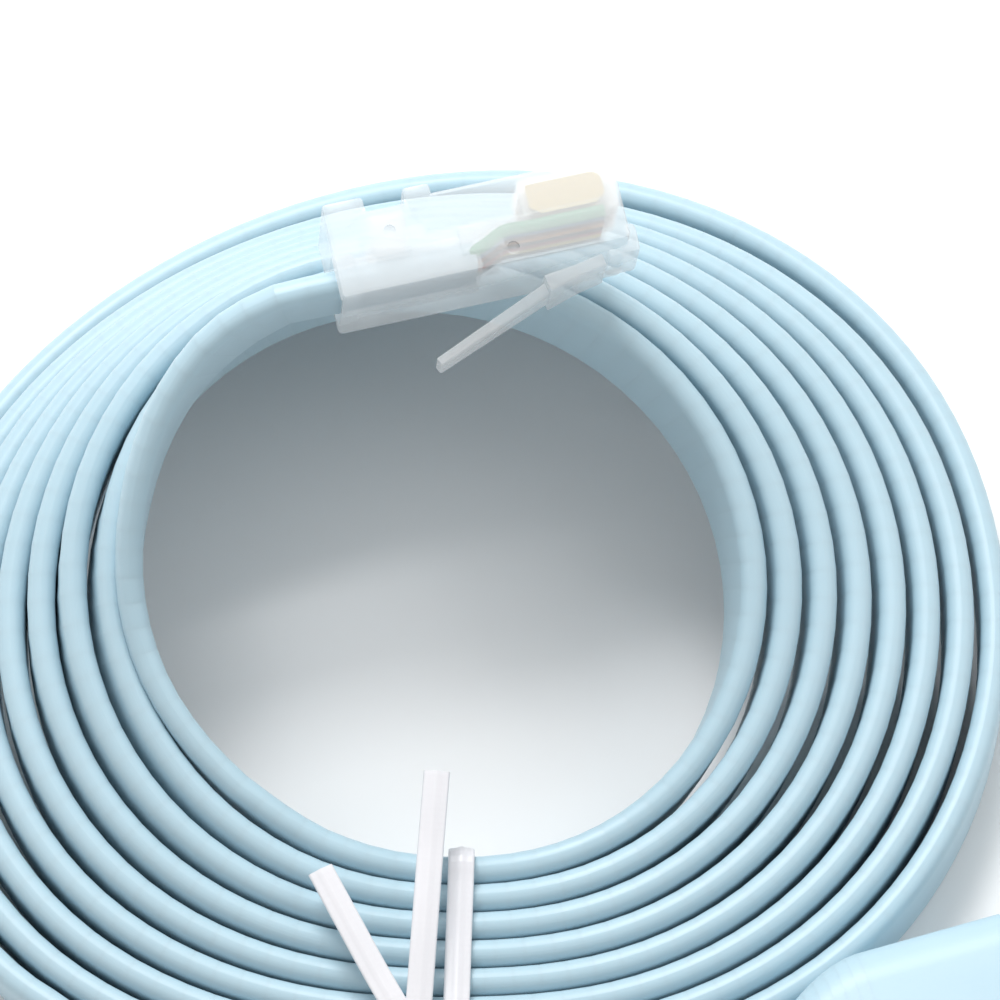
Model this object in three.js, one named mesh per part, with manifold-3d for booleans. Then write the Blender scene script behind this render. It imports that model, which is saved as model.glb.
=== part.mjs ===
// A flat console cable wound on edge into a roll, with a clear modular plug on its inner end and a
// nine-way D connector on its outer end, held by a twist tie. Millimetres, +Z up.
// The roll lies on the floor at the front, where the tie holds it, and its inner turns fan upwards at
// the back, where the plug lies on them. Front is -Y, and the plug's nose points to +X.
import * as THREE from "three";
import { mergeVertices } from "three/addons/utils/BufferGeometryUtils.js";
import Module from "manifold-3d";

const wasm = await Module();
wasm.setup();

// Clearances
const seatGap = 0.3; // between two pieces that touch on the real cable
const contactGap = 0.12; // between a contact blade and the slot it is pressed into
const leadGap = 0.55; // between the roll and the turn that leaves it

// Flat cable
const cableWidth = 6.8;
const cableThickness = 2.2;
const cableEdgeRound = 0.75; // how far the rounded edges reach down the flat sides

// Roll
const turnCount = 8;
const turnPitch = 2.42;
const boreHalfWidth = 24; // from the roll's centre to its bore, to either side
const depthLoss = 5.2; // how much less the same measure is towards the front and back
const fanRise = 18.5; // how far the innermost turn is lifted at the back
const turnGrooveDepth = 1.3;
const rollSegments = 48;

// Twist tie
const tieWidth = 1.95;
const tieThickness = 0.6;
const tieX = 1.7;
const tieCornerRadius = 1.6;
const tieTwistRadius = 1.25;
const tieTwistLength = 6.5;
const tieTwistInset = 0.7; // from the loop's front to the near end of the twist
const tieTwistShift = 3.2; // how far the twist lies to the left of the loop
const tieEndStart = 1.2; // how far both ends start inside the twist
const tieLeftEndLength = 13.5;
const tieRightEndLength = 21;
const tieLeftEndSpread = 6.9; // how far to the left the short end's tip lies from the twist
const tieRightEndSpread = 1.7;
const tieEndRise = 1.6;

// Modular plug
const plugLength = 21.46;
const plugWidth = 11.68;
const plugThickness = 6.4; // without the clamp's blocks
const plugCentre = new THREE.Vector3(2.9, 19.4, 0);
const plugYaw = THREE.MathUtils.degToRad(13.3);
const plugRoll = THREE.MathUtils.degToRad(11.6);
const jacketReach = 10.4; // how far the jacket reaches into the plug
const jacketClearance = 0.3;
const jacketLevel = -1.3; // the clamp presses the jacket to the latch's side
const wireDiameter = 0.95;
const wirePitch = 1.02; // both the wires and the contacts
const wireCount = 8;
const wireEndMargin = 1.2; // plastic left between the wires' ends and the nose
const contactLength = 5.6;
const contactDepth = 2.3;
const contactThickness = 0.35;
const contactRecess = 0.5; // how far a contact's edge lies below the plug's face
const contactNoseMargin = 0.9;
const contactFootRun = 0.8; // the slanted corners at a contact's foot
const contactFootRise = 0.6;
const contactEdgeRound = 0.9;
const cordNotchLength = 2.9;
const cordNotchDepth = 0.45;
const cordNotchFromRear = 3.05;
const clampBlockRise = 0.75; // how far the blocks before and behind the notch stand proud
const clampBlockLength = 2.05;
const noseLip = 0.8; // how far the latch's root stands past the nose
const plugEdge = 0.5; // bevel of the plug's nose

// Latch of the plug
const latchRootWidth = 6.2;
const latchTabWidth = 3.3;
const latchThickness = 0.95;
const latchStepBack = 6.1; // from the nose to the step, where the narrow tab starts
const latchTipBack = 15.3; // from the nose to the tip of the tab
const latchStepStandOff = 1.35; // from the plug's face to the latch's middle at the step
const latchTipStandOff = 5.1;
const latchRootBlock = 1.6; // the block on the nose that carries the latch
const latchRootSink = 1.7; // how far that block reaches into the body

// Nine-way connector
const hoodWidth = 31.2;
const hoodHeight = 15.2;
const hoodBodyLength = 24.6;
const hoodShoulderLength = 13;
const hoodShoulderCurve = 1.7; // the power by which the shoulders draw in
const hoodCornerRadius = 2.4;
const hoodNeckWidth = 11;
const hoodNeckHeightShare = 0.72;
const reliefWidth = 10.4;
const reliefHeight = 6.6;
const reliefLength = 12;
const reliefTipWidth = 8.6;
const reliefTipHeight = 4.4;
const reliefCornerRadius = 1.4;
const reliefSink = 1; // how far the relief reaches into the hood
const reliefRibCount = 4;
const reliefRibGap = 0.9;
const reliefRibDepth = 0.7;
const hoodYaw = THREE.MathUtils.degToRad(16.5);
const hoodFront = new THREE.Vector3(58.6, -36.5, 0); // the middle of the hood's front face, on the floor
const cablePocketDepth = 4;

// Thumbscrews of the connector
const screwInset = 3.1; // from the hood's side to a screw's middle
const screwSpacing = hoodWidth - 2 * screwInset;
const screwDiameter = 2.8;
const screwBore = 3.4;
const screwReach = 5.6; // past the flange
const knobDiameter = 6.4;
const knobLength = 7.4;
const knobBack = 5.6; // from the hood's front to the knob
const knobSlotPlay = 0.6;
const knobFlutes = 10;
const knobFluteDepth = 0.35;
const knobSink = 0.5; // how far the shank reaches into the knob

// Metal shell, insulator and sockets of the connector
const flangePastScrew = 2.9; // from a screw's middle to the flange's end
const shellFlangeWidth = screwSpacing + 2 * flangePastScrew;
const shellFlangeHeight = 12.5;
const shellFlangeThickness = 0.9;
const flangeCornerRadius = 1.2;
const shellWidth = 16.4;
const shellHeight = 8.0;
const shellReach = 5.9;
const shellWall = 0.45;
const shellSideLean = THREE.MathUtils.degToRad(10);
const shellCornerRadius = 2.2;
const insulatorReach = 5.5;
const socketPitch = 2.77;
const socketRowGap = 2.84;
const socketDiameter = 1.6;
const socketBore = 1.05;
const socketDepth = 3.4;
const socketFloor = 0.6;
const socketProud = 0.25;
const overcut = 1; // how far a cutting tool stands past what it cuts

// Materials
const skin = (color, roughness, metalness = 0) => new THREE.MeshStandardMaterial({ color, roughness, metalness });
const materials = {
  jacket: skin(0xb9d3df, 0.45),
  clear: new THREE.MeshStandardMaterial({ color: 0xe8eef0, roughness: 0.12, transparent: true, opacity: 0.35 }),
  gold: skin(0xd9b45a, 0.25, 1),
  tie: skin(0xf2f1f0, 0.5),
  hood: skin(0xbcd8e6, 0.5),
  steel: skin(0xc6c8ca, 0.3, 1),
  insulator: skin(0x1d1f22, 0.5),
};
const wireColours = [0x8c96a0, 0xd9c24a, 0xa63a34, 0x23262a, 0xd98a3c, 0x7a4a34, 0x3f74a8, 0x2f9a63];

// Solids: three.js geometry to a manifold solid and back
function solidOf(geometry) {
  const bare = geometry.clone();
  bare.deleteAttribute("normal");
  bare.deleteAttribute("uv");
  const merged = mergeVertices(bare, 1e-4);
  return new wasm.Manifold(
    new wasm.Mesh({
      numProp: 3,
      vertProperties: merged.attributes.position.array,
      triVerts: new Uint32Array(merged.index.array),
    }),
  );
}

function geometryOf(solid) {
  const mesh = solid.getMesh();
  const positions = new Float32Array(mesh.numVert * 3);
  for (let i = 0; i < mesh.numVert; i++) {
    positions.set(mesh.vertProperties.subarray(i * mesh.numProp, i * mesh.numProp + 3), i * 3);
  }
  const geometry = new THREE.BufferGeometry();
  geometry.setAttribute("position", new THREE.BufferAttribute(positions, 3));
  geometry.setIndex(new THREE.BufferAttribute(mesh.triVerts, 1));
  geometry.computeVertexNormals();
  return geometry;
}

const cut = (geometry, ...tools) =>
  geometryOf(tools.reduce((left, tool) => left.subtract(solidOf(tool)), solidOf(geometry)));
const join = (geometry, ...others) =>
  geometryOf(others.reduce((whole, other) => whole.add(solidOf(other)), solidOf(geometry)));

// Shapes
const box = (x0, x1, y0, y1, z0, z1) =>
  new THREE.BoxGeometry(x1 - x0, y1 - y0, z1 - z0).translate((x0 + x1) / 2, (y0 + y1) / 2, (z0 + z1) / 2);

// A round bar along X, from x0 to x1
const bar = (radius, x0, x1, y = 0, z = 0, sides = 16) =>
  new THREE.CylinderGeometry(radius, radius, x1 - x0, sides).rotateZ(-Math.PI / 2).translate((x0 + x1) / 2, y, z);

// An outline with its corners rounded
function rounded(corners, radius, steps = 3) {
  const outline = [];
  corners.forEach((corner, i) => {
    const before = corners[(i + corners.length - 1) % corners.length];
    const after = corners[(i + 1) % corners.length];
    const start = corner.clone().add(before.clone().sub(corner).setLength(radius));
    const end = corner.clone().add(after.clone().sub(corner).setLength(radius));
    outline.push(...new THREE.QuadraticBezierCurve(start, corner, end).getPoints(steps));
  });
  return outline;
}

const v2 = (x, y) => new THREE.Vector2(x, y);
const v3 = (x, y, z) => new THREE.Vector3(x, y, z);
const rectangle = (w, h) => [v2(-w / 2, -h / 2), v2(w / 2, -h / 2), v2(w / 2, h / 2), v2(-w / 2, h / 2)];

// A plate: an outline given as (y, z), standing from x0 to x1
function plate(outline, x0, x1, holes = [], steps = 1) {
  const shape = new THREE.Shape(outline);
  holes.forEach((hole) => shape.holes.push(new THREE.Path(hole)));
  const geometry = new THREE.ExtrudeGeometry(shape, { depth: x1 - x0, steps, bevelEnabled: false });
  return geometry.applyMatrix4(
    new THREE.Matrix4().makeBasis(v3(0, 1, 0), v3(0, 0, 1), v3(1, 0, 0)).setPosition(x0, 0, 0),
  );
}

// A flat section that follows a curve: its long side stands upright, less the lean given at each point
function sweep(outline, curve, steps, leanAt = () => 0) {
  const geometry = new THREE.ExtrudeGeometry(new THREE.Shape(outline), { depth: 1, steps, bevelEnabled: false });
  const position = geometry.attributes.position;
  const up = v3(0, 0, 1);
  for (let i = 0; i < position.count; i++) {
    const along = THREE.MathUtils.clamp(position.getZ(i), 0, 1);
    const tangent = curve.getTangentAt(along);
    const side = up.clone().cross(tangent).normalize();
    const rise = tangent.clone().cross(side);
    side.applyAxisAngle(tangent, leanAt(along));
    rise.applyAxisAngle(tangent, leanAt(along));
    const point = curve.getPointAt(along);
    point.addScaledVector(side, position.getX(i)).addScaledVector(rise, position.getY(i));
    position.setXYZ(i, point.x, point.y, point.z);
  }
  return geometry;
}

// The cable's section: flat sides and rounded edges
function cableSection() {
  const side = cableThickness / 2;
  const edge = cableWidth / 2;
  const right = [v2(side, -edge + cableEdgeRound), v2(side, edge - cableEdgeRound), v2(side / 2, edge)];
  return [...right, ...right.map((p) => p.clone().negate())];
}

// Where the roll puts a point that lies at a radius and an angle
const rollBuild = turnCount * turnPitch - (turnPitch - cableThickness);
const tieLift = tieThickness + seatGap;
const tieLiftReach = 9;

function rollPoint(radius, angle, z) {
  const outward = THREE.MathUtils.clamp((radius - boreHalfWidth) / rollBuild, 0, 1);
  const x = radius * Math.cos(angle);
  const y = (radius - depthLoss) * Math.sin(angle);
  const fan = fanRise * (1 - outward) * (1 + Math.sin(angle)) * 0.5;
  const overTie = y < 0 ? tieLift * Math.exp(-(((x - tieX) / tieLiftReach) ** 2)) : 0;
  return v3(x, y, z + fan + overTie);
}

// The roll: one turned ring with its bore, and a groove between each two turns on both ends
function rollGeometry() {
  const halfGap = (turnPitch - cableThickness) / 2;
  const lands = [];
  for (let turn = 0; turn < turnCount; turn++) {
    const inner = boreHalfWidth + turn * turnPitch;
    const outer = inner + cableThickness;
    if (turn > 0) lands.push([inner - halfGap, turnGrooveDepth]);
    lands.push([inner + cableThickness / 4, 0], [outer - cableThickness / 4, 0]);
  }
  const first = boreHalfWidth;
  const last = boreHalfWidth + rollBuild;
  const profile = [
    ...lands.map(([r, depth]) => v2(r, depth)),
    v2(last, cableEdgeRound),
    v2(last, cableWidth - cableEdgeRound),
    ...lands.reverse().map(([r, depth]) => v2(r, cableWidth - depth)),
    v2(first, cableWidth - cableEdgeRound),
    v2(first, cableEdgeRound),
  ];
  profile.push(profile[0].clone());
  const ring = new THREE.LatheGeometry(profile, rollSegments).rotateX(Math.PI / 2);
  const position = ring.attributes.position;
  for (let i = 0; i < position.count; i++) {
    const x = position.getX(i);
    const y = position.getY(i);
    const placed = rollPoint(Math.hypot(x, y), Math.atan2(y, x), position.getZ(i));
    position.setXYZ(i, placed.x, placed.y, placed.z);
  }
  return geometryOf(solidOf(ring));
}

// The plug's own frame: X to the nose, Y to the contacts, Z across its width, from its centre
const plugRest = fanRise + cableWidth + seatGap;
plugCentre.z = plugRest + (plugWidth / 2) * Math.cos(plugRoll) + (plugThickness / 2) * Math.sin(plugRoll);
const plugPlace = new THREE.Matrix4()
  .makeRotationFromEuler(new THREE.Euler(plugRoll, 0, plugYaw, "ZYX"))
  .setPosition(plugCentre);
const onPlug = (x, y = 0, z = 0) => v3(x, y, z).applyMatrix4(plugPlace);
const nose = plugLength / 2;
const rear = -plugLength / 2;
const contactFace = plugThickness / 2;
const latchFace = -plugThickness / 2;
const jacketEnd = rear + jacketReach;
const wireEnd = nose - wireEndMargin;
const wireZ = (i) => (i - (wireCount - 1) / 2) * wirePitch;
const wireY = contactFace - contactRecess - contactDepth - contactGap - wireDiameter / 2;

function plugBodyGeometry() {
  const body = plate(rounded(rectangle(plugThickness, plugWidth), plugEdge, 1), rear, nose);
  const notchFrom = rear + cordNotchFromRear;
  const notchTo = notchFrom + cordNotchLength;
  const clampBlock = (from, to) => box(from, to, 0, contactFace + clampBlockRise, -plugWidth / 2, plugWidth / 2);
  const rootBlock = box(nose - latchRootBlock, nose + noseLip, latchFace - latchThickness / 2, latchFace + latchRootSink,
    -latchRootWidth / 2, latchRootWidth / 2);
  const jacketPocket = box(rear - overcut, jacketEnd + seatGap,
    jacketLevel - cableThickness / 2 - jacketClearance, jacketLevel + cableThickness / 2 + jacketClearance,
    -cableWidth / 2 - jacketClearance, cableWidth / 2 + jacketClearance);
  const wireHalf = wireDiameter / 2 + jacketClearance;
  const wirePocket = box(jacketEnd, wireEnd + seatGap, wireY - wireHalf, wireY + wireHalf,
    wireZ(0) - wireHalf, wireZ(wireCount - 1) + wireHalf);
  const notch = box(notchFrom, notchTo,
    contactFace - cordNotchDepth, contactFace + clampBlockRise + overcut, -plugWidth, plugWidth);
  const slots = [];
  for (let i = 0; i < wireCount; i++) {
    const half = contactThickness / 2 + contactGap;
    slots.push(box(nose - contactNoseMargin - contactLength - contactGap, nose + overcut,
      wireY, contactFace + overcut, wireZ(i) - half, wireZ(i) + half));
  }
  return cut(join(body, rootBlock, clampBlock(rear, notchFrom), clampBlock(notchTo, notchTo + clampBlockLength)),
    jacketPocket, wirePocket, notch, ...slots);
}

// A contact blade: a flat plate with the rounded front edge that a jack's spring rides on
function contactGeometry(i) {
  const front = nose - contactNoseMargin;
  const top = contactFace - contactRecess;
  const foot = wireY + wireDiameter / 2 + contactGap;
  const outline = new THREE.Shape();
  outline.moveTo(front - contactLength, foot + contactFootRise);
  outline.lineTo(front - contactLength + contactFootRun, foot);
  outline.lineTo(front - contactFootRun, foot);
  outline.lineTo(front, foot + contactFootRise);
  outline.lineTo(front, top - contactEdgeRound);
  outline.quadraticCurveTo(front, top, front - contactEdgeRound, top);
  outline.lineTo(front - contactLength, top);
  return new THREE.ExtrudeGeometry(outline, { depth: contactThickness, bevelEnabled: false, curveSegments: 4 })
    .translate(0, 0, wireZ(i) - contactThickness / 2);
}

const wireGeometry = (i) => bar(wireDiameter / 2, jacketEnd + seatGap, wireEnd, wireY, wireZ(i), 8);

// The latch: a wide root at the nose that steps down to a narrow thumb tab
const latchHinge = v3(nose - latchRootBlock - seatGap, latchFace - latchThickness / 2, 0);
function latchGeometry() {
  const half = latchThickness / 2;
  const start = v2(latchHinge.x, latchHinge.y);
  const step = v2(nose - latchStepBack, latchFace - latchStepStandOff);
  const tip = v2(nose - latchTipBack, latchFace - latchTipStandOff);
  const strip = (a, b, width) => {
    const along = b.clone().sub(a).normalize().multiplyScalar(half / 2);
    const across = v2(-along.y, along.x).setLength(half);
    const outline = [
      a.clone().sub(across),
      b.clone().sub(across).add(along),
      b.clone().add(across).add(along),
      a.clone().add(across),
    ];
    return new THREE.ExtrudeGeometry(new THREE.Shape(outline), { depth: width, bevelEnabled: false })
      .translate(0, 0, -width / 2);
  };
  return join(strip(start, step, latchRootWidth), strip(step, tip, latchTabWidth));
}

// Both ends of the cable that aren't in the roll
const lastTurnRadius = boreHalfWidth + rollBuild + leadGap + cableThickness / 2;
const innerLeadRadius = boreHalfWidth - leadGap - cableThickness / 2;
const cableMiddle = cableWidth / 2;
const degrees = THREE.MathUtils.degToRad;

// A point of the inner lead's climb to the plug, in shares of the bore and of the roll's rise
const climb = (across, back, up) => v3(boreHalfWidth * across, boreHalfWidth * back, fanRise * up);

function innerLeadCurve() {
  const leadIn = [];
  for (let angle = 238; angle >= 178; angle -= 10) {
    leadIn.push(rollPoint(innerLeadRadius, degrees(angle), cableMiddle));
  }
  return new THREE.CatmullRomCurve3([
    ...leadIn,
    climb(-0.883, 0.192, 1.005),
    climb(-0.8, 0.371, 1.319),
    climb(-0.683, 0.533, 1.557),
    onPlug(rear - cableThickness * 2, jacketLevel),
    onPlug(rear - cableThickness * 0.68, jacketLevel),
    onPlug(rear + jacketReach * 0.19, jacketLevel),
    onPlug(rear + jacketReach * 0.58, jacketLevel),
    onPlug(jacketEnd, jacketLevel),
  ], false, "centripetal");
}

// The inner lead leans over with the plug before it goes in
const leanWithPlug = (along) => plugRoll * THREE.MathUtils.smoothstep(along, 0.35, 0.7);

// The connector's own frame: X to its front, Z up, from the middle of the hood's front face on the floor
const hoodPlace = new THREE.Matrix4().makeRotationZ(hoodYaw).setPosition(hoodFront);
const onHood = (x, y, z) => v3(x, y, z).applyMatrix4(hoodPlace);
const hoodRear = -hoodBodyLength - hoodShoulderLength;
const reliefRear = hoodRear - reliefLength;
const hoodMiddle = hoodHeight / 2;

// A point of the outer lead in front of the roll, in shares of the roll's radius and of the cable's width
const roundFront = (across, back, up) => v3(lastTurnRadius * across, lastTurnRadius * back, cableWidth * up);

function outerLeadCurve() {
  const leadOut = [];
  for (let angle = 212; angle <= 236; angle += 8) {
    leadOut.push(rollPoint(lastTurnRadius, degrees(angle), cableMiddle));
  }
  return new THREE.CatmullRomCurve3([
    ...leadOut,
    roundFront(-0.348, -0.906, 0.53),
    roundFront(-0.163, -1.062, 0.59),
    roundFront(0.018, -1.152, 0.78),
    onHood(reliefRear - cableThickness * 2.27, 0, hoodMiddle - cableThickness * 0.18),
    onHood(reliefRear - cableThickness * 0.68, 0, hoodMiddle),
    onHood(reliefRear + cablePocketDepth - seatGap, 0, hoodMiddle),
  ], false, "centripetal");
}

// The outer lead turns flat before it goes into the connector
const turnFlat = (along) => (Math.PI / 2) * THREE.MathUtils.smoothstep(along, 0.38, 0.86);

// Twist tie: a loop round the roll at the front, a twist outside it and two free ends over the turns
function tieGeometry() {
  const section = rectangle(tieThickness, tieWidth);
  const half = tieThickness / 2;
  const innerY = -(boreHalfWidth - depthLoss) + seatGap + half;
  const outerY = -(boreHalfWidth + rollBuild + 2 * seatGap + cableThickness - depthLoss) - seatGap - half;
  const low = half;
  const high = cableWidth + tieLift + seatGap + half;
  const r = tieCornerRadius;
  const corners = [v2(innerY, low), v2(innerY, high), v2(outerY, high), v2(outerY, low)];
  const loopOuter = rounded(corners.map((p) => v2(p.x + Math.sign(p.x - (innerY + outerY) / 2) * half,
    p.y + Math.sign(p.y - (low + high) / 2) * half)), r);
  const loopInner = rounded(corners.map((p) => v2(p.x - Math.sign(p.x - (innerY + outerY) / 2) * half,
    p.y - Math.sign(p.y - (low + high) / 2) * half)), r - half);
  const loop = plate(loopOuter, tieX - tieWidth / 2, tieX + tieWidth / 2, [loopInner]);
  const twistX = tieX - tieTwistShift;
  const twistFront = outerY + tieTwistInset;
  const twistZ = high + tieTwistRadius;
  const twist = new THREE.CylinderGeometry(tieTwistRadius, tieTwistRadius * 0.8, tieTwistLength, 8)
    .translate(twistX, twistFront + tieTwistLength / 2, twistZ);
  const bridge = box(twistX, tieX + tieWidth / 2, twistFront, twistFront + tieTwistLength / 2, high - half, twistZ);
  const end = (length, shift) => {
    const from = v3(twistX, twistFront + tieTwistLength - tieEndStart, twistZ);
    const far = v3(from.x + shift, from.y + length, twistZ + tieEndRise);
    const middle = from.clone().lerp(far, 0.4).setZ(twistZ);
    return sweep(section.map((p) => v2(p.y, p.x)), new THREE.QuadraticBezierCurve3(from, middle, far), 5);
  };
  return join(loop, twist, bridge, end(tieLeftEndLength, -tieLeftEndSpread), end(tieRightEndLength, tieRightEndSpread));
}

// The hood: a moulded body with tapered shoulders and a ribbed strain relief
function hoodGeometry() {
  const half = hoodWidth / 2;
  const r = hoodCornerRadius;
  const body = plate(rounded(rectangle(hoodWidth, hoodHeight), r), -hoodBodyLength, 0).translate(0, 0, hoodMiddle);
  const shoulder = plate(rounded(rectangle(hoodWidth, hoodHeight), r), hoodRear, -hoodBodyLength, [], 6);
  taper(shoulder, hoodRear, -hoodBodyLength, hoodNeckWidth / hoodWidth, hoodNeckHeightShare, hoodShoulderCurve);
  shoulder.translate(0, 0, hoodMiddle);
  const relief = plate(rounded(rectangle(reliefWidth, reliefHeight), reliefCornerRadius), reliefRear, hoodRear + reliefSink);
  taper(relief, reliefRear, hoodRear, reliefTipWidth / reliefWidth, reliefTipHeight / reliefHeight, 1);
  relief.translate(0, 0, hoodMiddle);
  const gaps = [];
  for (let i = 0; i < reliefRibCount; i++) {
    const x = reliefRear + ((i + 0.7) * reliefLength) / reliefRibCount;
    [-1, 1].forEach((side) => {
      gaps.push(box(x, x + reliefRibGap, side * (reliefTipWidth / 2 - reliefRibDepth), side * half,
        hoodMiddle - reliefHeight, hoodMiddle + reliefHeight));
    });
  }
  const pocket = box(reliefRear - overcut, reliefRear + cablePocketDepth,
    -cableWidth / 2 - jacketClearance, cableWidth / 2 + jacketClearance,
    hoodMiddle - cableThickness / 2 - jacketClearance, hoodMiddle + cableThickness / 2 + jacketClearance);
  const screwWays = [-1, 1].flatMap((side) => {
    const y = (side * screwSpacing) / 2;
    const slotFrom = -knobBack - knobLength - knobSlotPlay;
    const slotHalf = knobDiameter / 2 + knobSlotPlay;
    return [
      bar(screwBore / 2, -knobBack - overcut, overcut, y, hoodMiddle, 12),
      box(slotFrom, -knobBack + knobSlotPlay, Math.min(y - side * slotHalf, side * hoodWidth),
        Math.max(y - side * slotHalf, side * hoodWidth), -overcut, hoodHeight + overcut),
    ];
  });
  return cut(join(body, shoulder, relief), pocket, ...screwWays);
}

// Narrows a piece along X, from its full section at x1 to a share of it at x0
function taper(geometry, x0, x1, shareY, shareZ, power) {
  const dense = geometry.attributes.position;
  for (let i = 0; i < dense.count; i++) {
    const t = THREE.MathUtils.clamp((x1 - dense.getX(i)) / (x1 - x0), 0, 1) ** power;
    dense.setY(i, dense.getY(i) * THREE.MathUtils.lerp(1, shareY, t));
    dense.setZ(i, dense.getZ(i) * THREE.MathUtils.lerp(1, shareZ, t));
  }
}

// The D outline of the connector's shell, as (y, z) about its middle
function dOutline(width, height, radius) {
  const lean = (height / 2) * Math.tan(shellSideLean);
  return rounded([
    v2(-width / 2 + lean * 2, -height / 2),
    v2(width / 2 - lean * 2, -height / 2),
    v2(width / 2, height / 2),
    v2(-width / 2, height / 2),
  ], radius, 4);
}

function shellGeometry() {
  const start = seatGap;
  const flangeEnd = start + shellFlangeThickness;
  const inside = dOutline(shellWidth - 2 * shellWall, shellHeight - 2 * shellWall, shellCornerRadius - shellWall);
  const flange = plate(rounded(rectangle(shellFlangeWidth, shellFlangeHeight), flangeCornerRadius), start, flangeEnd);
  const sleeve = plate(dOutline(shellWidth, shellHeight, shellCornerRadius), start, flangeEnd + shellReach);
  const opening = plate(inside, start - overcut, flangeEnd + shellReach + overcut);
  const holes = [-1, 1].map((side) => bar(screwBore / 2, start - overcut, flangeEnd + overcut, (side * screwSpacing) / 2, 0, 12));
  return cut(join(flange, sleeve), opening, ...holes).translate(0, 0, hoodMiddle);
}

const socketPlaces = [];
[5, 4].forEach((count, row) => {
  for (let i = 0; i < count; i++) {
    socketPlaces.push(v2((i - (count - 1) / 2) * socketPitch, (0.5 - row) * socketRowGap));
  }
});

function insulatorGeometry() {
  const clear = shellWall + seatGap;
  const outline = dOutline(shellWidth - 2 * clear, shellHeight - 2 * clear, shellCornerRadius - clear);
  const front = seatGap + shellFlangeThickness + insulatorReach;
  const block = plate(outline, seatGap, front);
  const wells = socketPlaces.map((p) =>
    bar(socketDiameter / 2 + contactGap, front - socketDepth - seatGap, front + overcut, p.x, p.y, 10));
  return cut(block, ...wells).translate(0, 0, hoodMiddle);
}

// A socket contact: a short tube with a closed back end
function socketGeometry(place) {
  const front = seatGap + shellFlangeThickness + insulatorReach - socketProud;
  const back = front - socketDepth + socketProud;
  const tube = bar(socketDiameter / 2, back, front, place.x, place.y, 10);
  return cut(tube, bar(socketBore / 2, back + socketFloor, front + overcut, place.x, place.y, 8)).translate(0, 0, hoodMiddle);
}

// A thumbscrew: a fluted knob in the hood's slot and a shank through the flange
function thumbscrewGeometry() {
  const outline = [];
  for (let i = 0; i < knobFlutes * 2; i++) {
    const angle = (i / (knobFlutes * 2)) * Math.PI * 2;
    const radius = knobDiameter / 2 - (i % 2) * knobFluteDepth;
    outline.push(v2(Math.cos(angle) * radius, Math.sin(angle) * radius));
  }
  const knob = plate(outline, -knobBack - knobLength, -knobBack);
  const shank = bar(screwDiameter / 2, -knobBack - knobSink, seatGap + shellFlangeThickness + screwReach, 0, 0, 10);
  return join(knob, shank);
}

// The cable
const cable = new THREE.Group();
const plug = new THREE.Group();
const connector = new THREE.Group();
plug.applyMatrix4(plugPlace);
connector.applyMatrix4(hoodPlace);

function piece(group, name, geometry, material, place = v3(0, 0, 0)) {
  const mesh = new THREE.Mesh(geometry, material);
  mesh.name = name;
  mesh.position.copy(place);
  group.add(mesh);
}

piece(cable, "coiled_cable", rollGeometry(), materials.jacket);
piece(cable, "inner_lead", sweep(cableSection(), innerLeadCurve(), 26, leanWithPlug), materials.jacket);
piece(cable, "outer_lead", sweep(cableSection(), outerLeadCurve(), 24, turnFlat), materials.jacket);
piece(cable, "twist_tie", tieGeometry(), materials.tie);

piece(plug, "plug_body", plugBodyGeometry(), materials.clear);
piece(plug, "plug_latch", latchGeometry(), materials.clear);
for (let i = 0; i < wireCount; i++) {
  piece(plug, "contact_" + (i + 1), contactGeometry(i), materials.gold);
  piece(plug, "wire_" + (i + 1), wireGeometry(i), skin(wireColours[i % wireColours.length], 0.5));
}

piece(connector, "connector_hood", hoodGeometry(), materials.hood);
piece(connector, "connector_shell", shellGeometry(), materials.steel);
piece(connector, "connector_insulator", insulatorGeometry(), materials.insulator);
socketPlaces.forEach((place, i) => {
  piece(connector, "socket_" + (i + 1), socketGeometry(place), materials.gold);
});
["left", "right"].forEach((name, i) => {
  const place = v3(0, ((0.5 - i) * 2 * screwSpacing) / 2, hoodMiddle);
  piece(connector, "thumbscrew_" + name, thumbscrewGeometry(), materials.steel, place);
});

cable.add(plug, connector);

// The origin is the middle of the whole cable's outline, on the floor
const bounds = new THREE.Box3().setFromObject(cable, true);
const middle = bounds.getCenter(v3(0, 0, 0));
cable.position.set(-middle.x, -middle.y, -bounds.min.z);

export default cable;
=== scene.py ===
"""A flat console cable, wound on edge into a roll, with its modular plug, twist tie and nine-way connector.

Laid out as a Blender add-on: the sidebar panel lists one operator for each piece. Run as a script, it makes
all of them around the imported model, which is loaded first. Named sizes are in millimetres unless they say
otherwise, and the finished meshes are in metres.
"""

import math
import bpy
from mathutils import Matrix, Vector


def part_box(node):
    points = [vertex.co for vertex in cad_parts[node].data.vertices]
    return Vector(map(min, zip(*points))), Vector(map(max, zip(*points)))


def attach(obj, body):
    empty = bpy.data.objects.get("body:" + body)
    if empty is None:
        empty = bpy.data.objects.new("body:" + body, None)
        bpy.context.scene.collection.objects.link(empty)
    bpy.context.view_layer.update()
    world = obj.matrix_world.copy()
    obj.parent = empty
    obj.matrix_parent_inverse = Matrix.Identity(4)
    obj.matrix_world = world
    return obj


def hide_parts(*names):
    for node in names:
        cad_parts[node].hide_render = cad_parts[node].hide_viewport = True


bl_info = {
    "name": "Console Cable",
    "version": (1, 0, 0),
    "blender": (4, 5, 0),
    "location": "View3D > Sidebar > Console Cable",
    "description": "Makes a rolled flat console cable with its plug, tie and connector",
    "category": "Object",
}

import bmesh
import bpy
from mathutils import Euler, Matrix, Vector

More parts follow.
